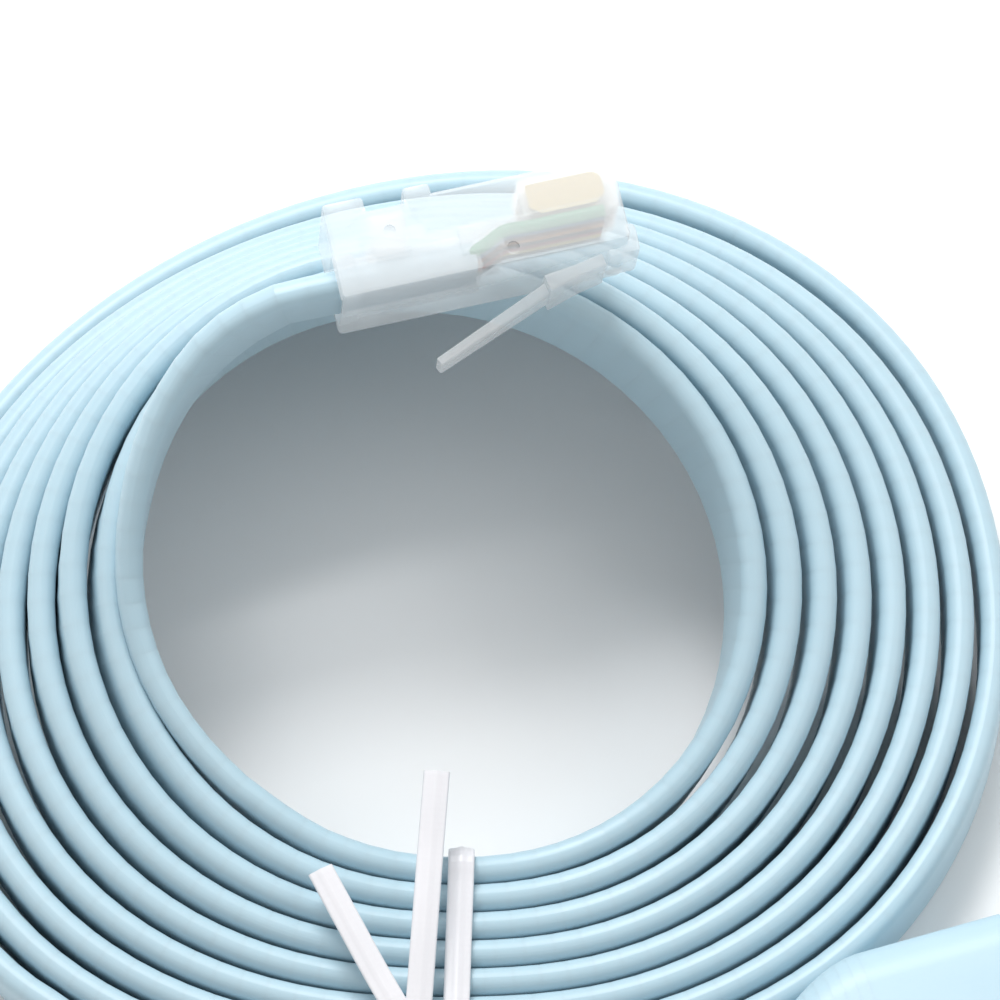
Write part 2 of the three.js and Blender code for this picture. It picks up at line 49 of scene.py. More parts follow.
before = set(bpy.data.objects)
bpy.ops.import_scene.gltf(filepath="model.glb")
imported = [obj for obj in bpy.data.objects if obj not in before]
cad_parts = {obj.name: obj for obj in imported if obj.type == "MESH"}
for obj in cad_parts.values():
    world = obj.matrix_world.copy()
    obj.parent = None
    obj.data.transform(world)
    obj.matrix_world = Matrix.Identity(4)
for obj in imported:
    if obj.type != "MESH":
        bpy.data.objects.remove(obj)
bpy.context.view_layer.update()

MM = 0.001
UP = Vector((0, 0, 1))

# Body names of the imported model
CABLE = "cable"
LATCH = "latch"
SCREWS = {"left": "left_screw", "right": "right_screw"}

# What the camera looks at, in millimetres from the roll's middle
VIEW_MIDDLE = (4.8, 9.95, 7)

# Area lights: name, place over the roll and size in metres, and power
LIGHTS = (
    ("key", (-0.08, 0.30, 0.44), 0.24, 2.6),
    ("fill", (-0.36, -0.16, 0.38), 0.40, 0.3),
    ("side", (0.40, 0.02, 0.40), 0.36, 0.5),
)

# The roll's middle on the floor, from the solid ring that stands for its turns
ring_low, ring_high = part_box("coiled_cable")
ROLL = Vector(((ring_low.x + ring_high.x) / 2, (ring_low.y + ring_high.y) / 2, 0))


def on_roll(x, y, z):
    """A point given in millimetres from the roll's middle."""
    return ROLL + Vector((x, y, z)) * MM


# Sizes that the settings below start from, in millimetres
CABLE_WIDTH = 6.8
CABLE_THICKNESS = 2.05
PLUG_SIZE = (21.46, 6.4, 11.68)
PLUG_YAW = math.radians(13.3)
PLUG_ROLL = math.radians(11.6)
JACKET_REACH = 10.4
JACKET_LEVEL = -1.3
CLAMP_RISE = 0.75
CLAMP_BLOCK_LENGTH = 2.05
CLAMP_TILT = math.radians(-14)
NOTCH_FROM_REAR = 3.05
NOTCH_LENGTH = 2.9
NOSE_LIP = 0.8
CONTACT_REAR = 3.7
SLOT_WIDTH = 0.58
WIRE_RADIUS = 0.46
LATCH_THICKNESS = 0.95
LATCH_ROOT_WIDTH = 6.2
LATCH_TAB_WIDTH = 3.3
WIRE_END_MARGIN = 1.2
WIRE_LEVEL = -0.195
WIRE_PITCH = 1.02
WIRE_COUNT = 8
HOOD_YAW = math.radians(16.5)
HOOD_SIZE = (24.6, 31.2, 15.2)
HOOD_SHOULDER = 13
RELIEF_LENGTH = 12
HOOD_MIDDLE = 7.6
HOOD_CORNER = 3.4
HOOD_REAR_WIDTH = 11
HOOD_REAR_SHARE = 0.72
SHOULDER_CURVE = 1.7
SHOULDER_STEPS = 14
RIB_COUNT = 5
SCREW_SPACING = 25
SCREW_RECESS = (-13.6, -5.0)
KNOB_RADIUS = 3.2
KNURL_DEPTH = 0.22
KNURL_POINTS = 72
THREAD_PITCH = 0.5
SOCKET_COUNT = 9
SOCKET_ROWS = (5, 4)
SOCKET_PITCH = 2.77
SOCKET_ROW_PITCH = 2.84
INSULATOR_FRONT = 6.7


class CableSettings(bpy.types.PropertyGroup):
    """Sizes and colour of the flat cable and its roll."""

    width: bpy.props.FloatProperty(
        name="Width", description="Long side of the cable's section", default=CABLE_WIDTH * MM, unit="LENGTH"
    )
    thickness: bpy.props.FloatProperty(
        name="Thickness", description="Short side of the cable's section",
        default=CABLE_THICKNESS * MM, unit="LENGTH"
    )
    first_radius: bpy.props.FloatProperty(
        name="First radius", description="The innermost turn's radius on the right",
        default=0.0231, unit="LENGTH"
    )
    pitch: bpy.props.FloatProperty(
        name="Pitch", description="From one turn to the next on the right", default=0.00269, unit="LENGTH"
    )
    fan: bpy.props.FloatProperty(
        name="Fan", description="How far the innermost turn is lifted at the back",
        default=0.0205, unit="LENGTH"
    )
    colour: bpy.props.FloatVectorProperty(
        name="Jacket", description="Colour of the vinyl jacket", default=(0.44, 0.60, 0.68), subtype="COLOR"
    )


class PlugSettings(bpy.types.PropertyGroup):
    """Finish of the modular plug."""

    ior: bpy.props.FloatProperty(name="Index", description="Refraction of the clear plastic", default=1.5)


class ConnectorSettings(bpy.types.PropertyGroup):
    """Colours of the nine-way connector."""

    colour: bpy.props.FloatVectorProperty(
        name="Hood", description="Colour of the moulded hood", default=(0.47, 0.645, 0.735), subtype="COLOR"
    )
    metal: bpy.props.FloatVectorProperty(
        name="Plating", description="Colour of the nickel plating",
        default=(0.72, 0.71, 0.69), subtype="COLOR"
    )


class StageSettings(bpy.types.PropertyGroup):
    """Camera's distance, elevation and view width."""

    distance: bpy.props.FloatProperty(
        name="Distance", description="From the camera to what it looks at", default=0.6, unit="LENGTH"
    )
    elevation: bpy.props.FloatProperty(
        name="Elevation", description="Camera's height over the floor",
        default=math.radians(66.5), subtype="ANGLE"
    )
    view_width: bpy.props.FloatProperty(
        name="View width", description="Width that the picture shows", default=0.0755, unit="LENGTH"
    )


def settings(kind):
    return getattr(bpy.context.scene, "console_" + kind)


# Shapes

def rounded_outline(width, height, radius, steps):
    """Points round a rectangle with round corners, counter-clockwise."""
    points = []
    corners = [(1, 1, 0), (-1, 1, 90), (-1, -1, 180), (1, -1, 270)]
    for sx, sy, start in corners:
        centre = Vector((sx * (width / 2 - radius), sy * (height / 2 - radius)))
        for i in range(steps + 1):
            angle = math.radians(start + 90 * i / steps)
            points.append(centre + Vector((math.cos(angle), math.sin(angle))) * radius)
    return points


def circle_outline(radius, count):
    angles = (2 * math.pi * i / count for i in range(count))
    return [Vector((math.cos(a), math.sin(a))) * radius for a in angles]


def station(point, tangent, up, scale=(1, 1)):
    """Where a swept section stands: its X to the side, its Y up and its Z along the way."""
    tangent = tangent.normalized()
    up = (up - tangent * up.dot(tangent)).normalized()
    side = up.cross(tangent)
    axes = Matrix((side * scale[0], up * scale[1], tangent)).transposed()
    return Matrix.Translation(point) @ axes.to_4x4()


def sweep(outline, stations, bm=None):
    """Extrudes a closed outline from station to station, and returns the bmesh with its caps.

    Each vertex keeps how far along and how far round the section it is, for the materials."""
    bm = bm or bmesh.new()
    along_layer = bm.verts.layers.float.get("along") or bm.verts.layers.float.new("along")
    round_layer = bm.verts.layers.float.get("round") or bm.verts.layers.float.new("round")
    ring = [bm.verts.new(stations[0] @ Vector((p.x, p.y, 0))) for p in outline]
    for i, vert in enumerate(ring):
        vert[round_layer] = i / len(ring)
    cap = bm.faces.new(ring)
    cap.normal_flip()
    along = 0.0
    for before, after in zip(stations, stations[1:]):
        along += (after.translation - before.translation).length
        extruded = bmesh.ops.extrude_face_region(bm, geom=[cap])["geom"]
        cap = next(g for g in extruded if isinstance(g, bmesh.types.BMFace))
        verts = [g for g in extruded if isinstance(g, bmesh.types.BMVert)]
        bmesh.ops.transform(bm, matrix=after @ before.inverted(), verts=verts)
        for vert in verts:
            vert[along_layer] = along
    return bm


def smooth_line(points, ups, step):
    """Points a step apart on a smooth curve through the given ones, each with its direction and its up."""
    dense = []
    for i in range(len(points) - 1):
        p1, p2 = points[i], points[i + 1]
        p0 = points[i - 1] if i else p1 * 2 - p2
        p3 = points[i + 2] if i + 2 < len(points) else p2 * 2 - p1
        count = max(2, math.ceil((p2 - p1).length / step * 3))
        for j in range(count):
            t = j / count
            spot = (
                p1 * 2
                + (p2 - p0) * t
                + (p0 * 2 - p1 * 5 + p2 * 4 - p3) * t * t
                + (p1 * 3 - p0 - p2 * 3 + p3) * t * t * t
            ) / 2
            dense.append((spot, ups[i].lerp(ups[i + 1], t)))
    dense.append((points[-1], ups[-1]))
    line = [dense[0]]
    for spot, up in dense[1:]:
        if (spot - line[-1][0]).length >= step:
            line.append((spot, up))
    line.append(dense[-1])
    if (line[-1][0] - line[-2][0]).length < step / 2:
        line.pop(-2)
    result = []
    for i, (spot, up) in enumerate(line):
        ahead = line[min(i + 1, len(line) - 1)][0]
        behind = line[max(i - 1, 0)][0]
        result.append((spot, ahead - behind, up))
    return result


def finish_mesh(name, bm, material, matrix=None, sharp=40):
    """Turns a bmesh into an object whose place is in its mesh, smooth except at sharp edges."""
    if matrix is not None:
        bm.transform(matrix)
    mesh = bpy.data.meshes.new(name)
    bm.to_mesh(mesh)
    bm.free()
    mesh.shade_smooth()
    mesh.set_sharp_from_angle(angle=math.radians(sharp))
    mesh.materials.append(material)
    obj = bpy.data.objects.new(name, mesh)
    bpy.context.scene.collection.objects.link(obj)
    return obj


def bevel_sharp(bm, width, angle=35, segments=2):
    """Rounds the edges that turn by more than the angle, in degrees."""
    bm.normal_update()
    edges = [e for e in bm.edges if e.is_manifold and e.calc_face_angle(0) > math.radians(angle)]
    bmesh.ops.bevel(
        bm, geom=edges, offset=width, affect="EDGES", segments=segments,
        profile=0.5, material=-1, clamp_overlap=True
    )


def block(low, high, edge=0.0):
    """A box between two corners, in millimetres, with its edges rounded where asked."""
    bm = bmesh.new()
    bmesh.ops.create_cube(bm, size=1)
    size = Vector(high) - Vector(low)
    bmesh.ops.scale(bm, vec=size, verts=bm.verts[:])
    bmesh.ops.translate(bm, vec=(Vector(high) + Vector(low)) / 2, verts=bm.verts[:])
    if edge:
        bevel_sharp(bm, edge)
    return bm


def cylinder(radius, x0, x1, y=0, z=0, segments=32):
    """A round bar along X, in millimetres."""
    bm = bmesh.new()
    bmesh.ops.create_cone(bm, cap_ends=True, segments=segments, radius1=radius, radius2=radius, depth=x1 - x0)
    bmesh.ops.rotate(bm, cent=(0, 0, 0), matrix=Matrix.Rotation(math.pi / 2, 3, "Y"), verts=bm.verts[:])
    bmesh.ops.translate(bm, vec=((x0 + x1) / 2, y, z), verts=bm.verts[:])
    return bm


def peg(radius, half, place, segments):
    """A round bar along Z, as far on both sides of its place, in millimetres."""
    bm = cylinder(radius, -half, half, segments=segments)
    bmesh.ops.rotate(bm, cent=(0, 0, 0), matrix=Matrix.Rotation(math.pi / 2, 3, "Y"), verts=bm.verts[:])
    bmesh.ops.translate(bm, vec=place, verts=bm.verts[:])
    return bm


def prism(outline, x0, x1, edge=0.0):
    """A plate whose outline lies across X, in millimetres."""
    bm = bmesh.new()
    face = bm.faces.new([bm.verts.new((x0, p.x, p.y)) for p in outline])
    extruded = bmesh.ops.extrude_face_region(bm, geom=[face])["geom"]
    verts = [g for g in extruded if isinstance(g, bmesh.types.BMVert)]
    bmesh.ops.translate(bm, vec=(x1 - x0, 0, 0), verts=verts)
    bmesh.ops.recalc_face_normals(bm, faces=bm.faces[:])
    if edge:
        bevel_sharp(bm, edge, angle=50)
    return bm


def turned(profile, steps=40):
    """A solid turned round X, from (x, radius) points in millimetres that start and end on the axis."""
    bm = bmesh.new()
    verts = [bm.verts.new((x, r, 0)) for x, r in profile]
    edges = [bm.edges.new(pair) for pair in zip(verts, verts[1:])]
    bmesh.ops.spin(
        bm, geom=verts + edges, cent=(0, 0, 0), axis=(1, 0, 0), angle=2 * math.pi, steps=steps, use_merge=True
    )
    bmesh.ops.remove_doubles(bm, verts=bm.verts[:], dist=1e-4)
    bmesh.ops.recalc_face_normals(bm, faces=bm.faces[:])
    return bm


def carve(bm, cutters, mode="DIFFERENCE"):
    """Cuts pieces out of a bmesh, or joins them to it, and returns a new one."""
    body = finish_mesh("body", bm, None)
    tools = [finish_mesh("cutter", cutter, None) for cutter in cutters]
    for tool in tools:
        modifier = body.modifiers.new("carve", "BOOLEAN")
        modifier.operation = mode
        modifier.solver = "EXACT"
        modifier.object = tool
    bpy.context.view_layer.update()
    evaluated = body.evaluated_get(bpy.context.evaluated_depsgraph_get())
    mesh = bpy.data.meshes.new_from_object(evaluated)
    result = bmesh.new()
    result.from_mesh(mesh)
    for obj in [body, *tools]:
        old = obj.data
        bpy.data.objects.remove(obj)
        bpy.data.meshes.remove(old)
    bpy.data.meshes.remove(mesh)
    bmesh.ops.remove_doubles(result, verts=result.verts[:], dist=1e-4)
    bmesh.ops.dissolve_limit(
        result, angle_limit=math.radians(1), verts=result.verts[:], edges=result.edges[:]
    )
    return result


def make(name, bm, material, matrix, body, slot, nodes=(), edge=0.0, sharp=40):
    """Places a bmesh made in millimetres as a finished piece, with its edges rounded where asked."""
    bm.transform(Matrix.Scale(MM, 4))
    piece = finish_mesh(name, bm, material, matrix, sharp=sharp)
    if edge:
        rounding = piece.modifiers.new("edges", "BEVEL")
        rounding.width = edge * MM
        rounding.segments = 2
        rounding.limit_method = "ANGLE"
        rounding.angle_limit = math.radians(50)
        rounding.harden_normals = True
    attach(piece, body)
    if nodes:
        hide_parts(*nodes)
    return piece


def dress(nodes, material):
    """Gives solids that stay as they are a material."""
    for node in nodes:
        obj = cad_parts[node]
        if not obj.data.materials:
            obj.data.materials.append(material)
        for slot in obj.material_slots:
            slot.material = material


# Materials

def group(name, inputs, outputs):
    """A new shader node group with the given sockets, and its input and output nodes."""
    tree = bpy.data.node_groups.new(name, "ShaderNodeTree")
    for socket, kind, default in inputs:
        made = tree.interface.new_socket(socket, in_out="INPUT", socket_type=kind)
        made.default_value = default
    for socket, kind in outputs:
        tree.interface.new_socket(socket, in_out="OUTPUT", socket_type=kind)
    return tree, tree.nodes.new("NodeGroupInput"), tree.nodes.new("NodeGroupOutput")


def grain_group():
    """Fine moulded grain: a tone that wanders a little, a roughness and a height for bump."""
    name = "Moulded grain"
    if name in bpy.data.node_groups:
        return bpy.data.node_groups[name]
    tree, source, result = group(
        name,
        [
            ("Vector", "NodeSocketVector", (0, 0, 0)),
            ("Colour", "NodeSocketColor", (0.8, 0.8, 0.8, 1)),
            ("Grain", "NodeSocketFloat", 4000.0),
            ("Tone", "NodeSocketFloat", 0.06),
            ("Roughness", "NodeSocketFloat", 0.45),
            ("Spread", "NodeSocketFloat", 0.12),
        ],
        [("Colour", "NodeSocketColor"), ("Roughness", "NodeSocketFloat"), ("Height", "NodeSocketFloat")],
    )
    links = tree.links
    fine = tree.nodes.new("ShaderNodeTexNoise")
    fine.inputs["Detail"].default_value = 3
    links.new(source.outputs["Vector"], fine.inputs["Vector"])
    links.new(source.outputs["Grain"], fine.inputs["Scale"])
    broad = tree.nodes.new("ShaderNodeTexNoise")
    broad.inputs["Scale"].default_value = 160
    broad.inputs["Detail"].default_value = 4
    links.new(source.outputs["Vector"], broad.inputs["Vector"])
    tone = tree.nodes.new("ShaderNodeMath")
    tone.operation = "MULTIPLY_ADD"
    shade = tree.nodes.new("ShaderNodeMath")
    shade.operation = "SUBTRACT"
    shade.inputs[1].default_value = 0.5
    links.new(broad.outputs["Fac"], shade.inputs[0])
    links.new(shade.outputs[0], tone.inputs[0])
    links.new(source.outputs["Tone"], tone.inputs[1])
    tone.inputs[2].default_value = 1.0
    mix = tree.nodes.new("ShaderNodeVectorMath")
    mix.operation = "SCALE"
    links.new(source.outputs["Colour"], mix.inputs[0])
    links.new(tone.outputs[0], mix.inputs["Scale"])
    rough = tree.nodes.new("ShaderNodeMath")
    rough.operation = "MULTIPLY_ADD"
    links.new(shade.outputs[0], rough.inputs[0])
    links.new(source.outputs["Spread"], rough.inputs[1])
    links.new(source.outputs["Roughness"], rough.inputs[2])
    links.new(mix.outputs[0], result.inputs["Colour"])
    links.new(rough.outputs[0], result.inputs["Roughness"])
    links.new(fine.outputs["Fac"], result.inputs["Height"])
    return tree


def new_material(name):
    material = bpy.data.materials.new(name)
    material.use_nodes = True
    return material, material.node_tree, material.node_tree.nodes["Principled BSDF"]


def bump(tree, shader, height, strength, distance):
    node = tree.nodes.new("ShaderNodeBump")
    node.inputs["Strength"].default_value = strength
    node.inputs["Distance"].default_value = distance
    tree.links.new(height, node.inputs["Height"])
    tree.links.new(node.outputs["Normal"], shader.inputs["Normal"])


def plastic(name, colour, roughness=0.45, grain=4000.0, strength=0.25, tone=0.08, spread=0.12, soft=0.0):
    """Moulded plastic or vinyl: grain, a wandering tone and, where soft, a little light inside."""
    material, tree, shader = new_material(name)
    place = tree.nodes.new("ShaderNodeTexCoord")
    grained = tree.nodes.new("ShaderNodeGroup")
    grained.node_tree = grain_group()
    tree.links.new(place.outputs["Object"], grained.inputs["Vector"])
    grained.inputs["Colour"].default_value = (*colour, 1)
    grained.inputs["Grain"].default_value = grain
    grained.inputs["Tone"].default_value = tone
    grained.inputs["Roughness"].default_value = roughness
    grained.inputs["Spread"].default_value = spread
    tree.links.new(grained.outputs["Colour"], shader.inputs["Base Color"])
    tree.links.new(grained.outputs["Roughness"], shader.inputs["Roughness"])
    bump(tree, shader, grained.outputs["Height"], strength, 0.00003)
    if soft:
        shader.inputs["Subsurface Weight"].default_value = soft
        shader.inputs["Subsurface Scale"].default_value = 0.001
        shader.inputs["Subsurface Radius"].default_value = (0.8, 1.0, 1.0)
    return material


def jacket_vinyl(colour):
    """The cable's jacket: satin vinyl with faint lines along it from its making."""
    material = plastic(
        "jacket_vinyl", colour, roughness=0.42, grain=5200.0, strength=0.16, tone=0.05, soft=0.12
    )
    tree = material.node_tree
    shader = tree.nodes["Principled BSDF"]
    along = tree.nodes.new("ShaderNodeAttribute")
    along.attribute_name = "along"
    around = tree.nodes.new("ShaderNodeAttribute")
    around.attribute_name = "round"
    place = tree.nodes.new("ShaderNodeCombineXYZ")
    stretch = tree.nodes.new("ShaderNodeMath")
    stretch.operation = "MULTIPLY"
    stretch.inputs[1].default_value = 14.0
    turns = tree.nodes.new("ShaderNodeMath")
    turns.operation = "MULTIPLY"
    turns.inputs[1].default_value = 60.0
    tree.links.new(along.outputs["Fac"], stretch.inputs[0])
    tree.links.new(around.outputs["Fac"], turns.inputs[0])
    tree.links.new(turns.outputs[0], place.inputs["X"])
    tree.links.new(stretch.outputs[0], place.inputs["Y"])
    lines = tree.nodes.new("ShaderNodeTexNoise")
    lines.inputs["Scale"].default_value = 1.0
    lines.inputs["Detail"].default_value = 2
    tree.links.new(place.outputs[0], lines.inputs["Vector"])
    second = tree.nodes.new("ShaderNodeBump")
    second.inputs["Strength"].default_value = 0.12
    second.inputs["Distance"].default_value = 0.00006
    first = shader.inputs["Normal"].links[0].from_node
    tree.links.new(lines.outputs["Fac"], second.inputs["Height"])
    tree.links.new(second.outputs["Normal"], first.inputs["Normal"])
    return material


def clear_plastic(name, ior):
    """Clear moulded plastic with faint flow marks."""
    material, tree, shader = new_material(name)
    shader.inputs["Base Color"].default_value = (0.985, 0.99, 0.995, 1)
    shader.inputs["Transmission Weight"].default_value = 1.0
    shader.inputs["IOR"].default_value = ior
    place = tree.nodes.new("ShaderNodeTexCoord")
    flow = tree.nodes.new("ShaderNodeTexNoise")
    flow.inputs["Scale"].default_value = 320
    flow.inputs["Detail"].default_value = 1
    tree.links.new(place.outputs["Object"], flow.inputs["Vector"])
    span = tree.nodes.new("ShaderNodeMapRange")
    span.inputs["To Min"].default_value = 0.0
    span.inputs["To Max"].default_value = 0.02
    tree.links.new(flow.outputs["Fac"], span.inputs["Value"])
    tree.links.new(span.outputs["Result"], shader.inputs["Roughness"])
    bump(tree, shader, flow.outputs["Fac"], 0.05, 0.0001)
    return material


def metal(name, colour, roughness=0.28, grain=900.0):
    """Plated metal with a fine uneven shine."""
    material, tree, shader = new_material(name)
    shader.inputs["Metallic"].default_value = 1.0
    place = tree.nodes.new("ShaderNodeTexCoord")
    grained = tree.nodes.new("ShaderNodeGroup")
    grained.node_tree = grain_group()
    tree.links.new(place.outputs["Object"], grained.inputs["Vector"])
    grained.inputs["Colour"].default_value = (*colour, 1)
    grained.inputs["Grain"].default_value = grain
    grained.inputs["Tone"].default_value = 0.15
    grained.inputs["Roughness"].default_value = roughness
    grained.inputs["Spread"].default_value = 0.25
    tree.links.new(grained.outputs["Colour"], shader.inputs["Base Color"])
    tree.links.new(grained.outputs["Roughness"], shader.inputs["Roughness"])
    bump(tree, shader, grained.outputs["Height"], 0.1, 0.00002)
    return material


def once(name, make):
    """The material of that name, made if it isn't there yet."""
    return bpy.data.materials.get(name) or make()


def clear():
    return once("clear_plastic", lambda: clear_plastic("clear_plastic", settings("plug").ior))


def gold():
    return once("gold_plate", lambda: metal("gold_plate", (0.93, 0.82, 0.62), 0.16))


def nickel():
    return once("nickel_plate", lambda: metal("nickel_plate", settings("connector").metal, 0.26))


# Places of the plug and the connector

NOSE = PLUG_SIZE[0] / 2
REAR = -PLUG_SIZE[0] / 2
CONTACT_FACE = PLUG_SIZE[1] / 2
LATCH_FACE = -PLUG_SIZE[1] / 2
JACKET_END = REAR + JACKET_REACH
CABLE_STEP = 0.0017
SEAT_GAP = 0.3
PLUG_REST = 18.5 + CABLE_WIDTH + SEAT_GAP
PLUG_CENTRE = on_roll(
    2.9,
    19.4,
    PLUG_REST + PLUG_SIZE[2] / 2 * math.cos(PLUG_ROLL) + PLUG_SIZE[1] / 2 * math.sin(PLUG_ROLL),
)
PLUG = Matrix.Translation(PLUG_CENTRE) @ Euler((PLUG_ROLL, 0, PLUG_YAW), "XYZ").to_matrix().to_4x4()
HOOD = Matrix.Translation(on_roll(58.6, -36.5, 0)) @ Matrix.Rotation(HOOD_YAW, 4, "Z")


def on_plug(x, y=0.0, z=0.0):
    """A point in the plug's own millimetres: X to the nose, Y to the contacts, Z across its width."""
    return PLUG @ (Vector((x, y, z)) * MM)


def on_hood(x, y=0.0, z=HOOD_MIDDLE):
    """A point in the connector's own millimetres: X to its front, Z up from the floor."""
    return HOOD @ (Vector((x, y, z)) * MM)


PLUG_UP = PLUG.to_3x3() @ UP

# Wires from the lowest to the highest, each with its slot's colour
WIRES = (
    ("grey", (0.34, 0.38, 0.42)),
    ("yellow", (0.72, 0.58, 0.16)),
    ("red", (0.48, 0.07, 0.06)),
    ("black", (0.03, 0.03, 0.035)),
    ("orange", (0.70, 0.30, 0.07)),
    ("brown", (0.22, 0.085, 0.05)),
    ("blue", (0.16, 0.30, 0.44)),
    ("green", (0.015, 0.30, 0.14)),
)


def wire_level(i):
    return (i - (WIRE_COUNT - 1) / 2) * WIRE_PITCH


RELIEF_REAR = -HOOD_SIZE[0] - HOOD_SHOULDER - RELIEF_LENGTH
HOOD_ACROSS = HOOD.to_3x3() @ Vector((0, 1, 0))

# The roll's turns from the innermost to the outermost, each counted from where it passes the back
FAN_SHARES = (1.0, 0.907, 0.859, 0.712, 0.576, 0.439, 0.302, 0.166, 0.0)
BACK_LOSS = (2.2, 2.8, 3.5, 3.53, 3.4, 3.28, 3.15, 3.03, 1.25)
CORNER_LOSS = (0.0, 0.0, 0.0, 0.9, 2.0, 3.1, 4.2, 5.3, 6.6)
CORNER_ANGLE = 125
CORNER_REACH = 105
FRONT_LOSS = 2.5
FRONT_LOSS_STEP = 0.5
FAN_ANGLE = 15
SPIRAL_START = 238
SPIRAL_END = 3116
TURN_STEP = 8
# The lead from the plug down to the innermost turn, as places of its middle
LEAD_LINE = (
    (-15.2, 13.0, 29.9),
    (-18.6, 10.2, 27.0),
    (-20.9, 6.8, 23.6),
    (-22.2, 3.1, 19.9),
    (-22.6, -0.6, 16.6),
    (-22.1, -4.2, 14.2),
    (-20.7, -7.8, 12.3),
    (-18.3, -11.2, 10.4),
    (-15.2, -14.1, 8.6),
)
LEAD_UP = Vector((0.06, -0.1, 1))
LEAN_INNER = 0.22
LEAN_OUTER = -0.08
LEAN_OUT = 0.15
TIE_X = 1.7
TIE_LIFT = 0.9
TIE_LIFT_REACH = 9.0
TIE_WIDTH = 1.95
TIE_STRIP_THICKNESS = 0.42
TIE_WIRE_RISE = 0.14
TIE_WIRE_REACH = 0.32


def listed(values, turn):
    """A value from a list with one entry for each turn."""
    spot = min(max(turn, 0), len(values) - 1.001)
    low = int(spot)
    return values[low] + (values[low + 1] - values[low]) * (spot - low)


def lift_share(angle):
    """How far the fan lifts the cable at an angle, from 0 at the front to 1 at the back."""
    return (1 + math.sin(math.radians(angle - FAN_ANGLE))) / 2


def turn_height(angle):
    return settings("cable").fan / MM * listed(FAN_SHARES, (angle - 90) / 360) * lift_share(angle)


def turn_point(angle):
    """The cable's middle and its up, at an angle in degrees that counts on through the turns."""
    cable = settings("cable")
    turn = (angle - 90) / 360
    share = (angle - SPIRAL_START) / (SPIRAL_END - SPIRAL_START)
    way = math.radians(angle)
    out = Vector((math.cos(way), math.sin(way), 0))
    radius = (cable.first_radius + cable.pitch * (angle - 360) / 360) / MM
    off_corner = (angle - CORNER_ANGLE + 180) % 360 - 180
    if abs(off_corner) < CORNER_REACH:
        radius -= listed(CORNER_LOSS, turn) * math.cos(math.radians(90 * off_corner / CORNER_REACH)) ** 2
    if out.y > 0:
        radius -= listed(BACK_LOSS, turn) * out.y**2
    else:
        radius -= FRONT_LOSS * out.y**2 + FRONT_LOSS_STEP * (turn - 0.5) * out.y**4
    height = turn_height(angle)
    spot = out * radius
    if spot.y < 0:
        height += TIE_LIFT * math.exp(-(((spot.x - TIE_X) / TIE_LIFT_REACH) ** 2))
    lean = LEAN_INNER + (LEAN_OUTER - LEAN_INNER) * share
    up = Vector((lean, 0, 1)) + out * (LEAN_OUT * lift_share(angle) * min(max((turn - 1) / 3, 0), 1))
    return on_roll(spot.x, spot.y, CABLE_WIDTH / 2 + height), up


def cable_route():
    """The cable's middle line from the end of its jacket in the plug to the connector, with its ups."""
    lead_in = [
        (on_plug(JACKET_END, JACKET_LEVEL), PLUG_UP),
        (on_plug(REAR + 6, JACKET_LEVEL), PLUG_UP),
        (on_plug(REAR + 2, JACKET_LEVEL), PLUG_UP),
        (on_plug(REAR - 1.5, JACKET_LEVEL), PLUG_UP),
        (on_plug(REAR - 4.0, JACKET_LEVEL), PLUG_UP),
    ]
    lead_in += [(on_roll(*place), LEAD_UP) for place in LEAD_LINE]
    turns = [turn_point(angle) for angle in range(SPIRAL_START, SPIRAL_END, TURN_STEP)]
    flat = HOOD_ACROSS
    lead_out = [
        (on_roll(-16.2, -39.6, 3.5), Vector((0, 0, 1))),
        (on_roll(-7.8, -46.4, 4.0), Vector((0.1, 0.45, 1))),
        (on_roll(-0.4, -50.6, 5.2), Vector((-0.2, 1, 0.5))),
        (on_hood(RELIEF_REAR - 5.0, 0, HOOD_MIDDLE - 0.4), flat),
        (on_hood(RELIEF_REAR - 1.5), flat),
        (on_hood(RELIEF_REAR + 3.7), flat),
    ]
    return lead_in + turns + lead_out


def cable_line():
    route = cable_route()
    return smooth_line([p for p, _ in route], [u for _, u in route], CABLE_STEP)


class CONSOLE_OT_camera(bpy.types.Operator):
    """Set the camera over the roll, looking down on it from the front"""

    bl_idname = "console.camera"
    bl_label = "Camera"

    def execute(self, context):
        stage = settings("stage")
        target = on_roll(*VIEW_MIDDLE)
        back = Vector((0, -math.cos(stage.elevation), math.sin(stage.elevation)))
        data = bpy.data.cameras.new("camera")
        data.sensor_fit = "HORIZONTAL"
        data.angle = 2 * math.atan(stage.view_width / 2 / stage.distance)
        data.clip_start = 0.01
        data.clip_end = 10
        camera = bpy.data.objects.new("camera", data)
        camera.location = target + back * stage.distance
        camera.rotation_euler = back.to_track_quat("Z", "Y").to_euler()
        context.scene.collection.objects.link(camera)
        context.scene.camera = camera
        return {"FINISHED"}


class CONSOLE_OT_cable(bpy.types.Operator):
    """Make the flat cable, from the plug through all its turns to the connector"""

    bl_idname = "console.cable"
    bl_label = "Cable"

    def execute(self, context):
        cable = settings("cable")
        stations = [station(*at) for at in cable_line()]
        edge = cable.thickness / 2 * 0.98
        bm = sweep(rounded_outline(cable.thickness, cable.width, edge, 5), stations)
        piece = finish_mesh("flat_cable", bm, jacket_vinyl(cable.colour), sharp=60)
        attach(piece, CABLE)
        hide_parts("coiled_cable", "inner_lead", "outer_lead")
        return {"FINISHED"}


class CONSOLE_OT_cord(bpy.types.Operator):
    bl_idname = "console.cord"
    bl_label = "Cable's facts"

    def execute(self, context):
        points = [at[0] for at in cable_line()]
        settings("cable").width
        return {"FINISHED"}


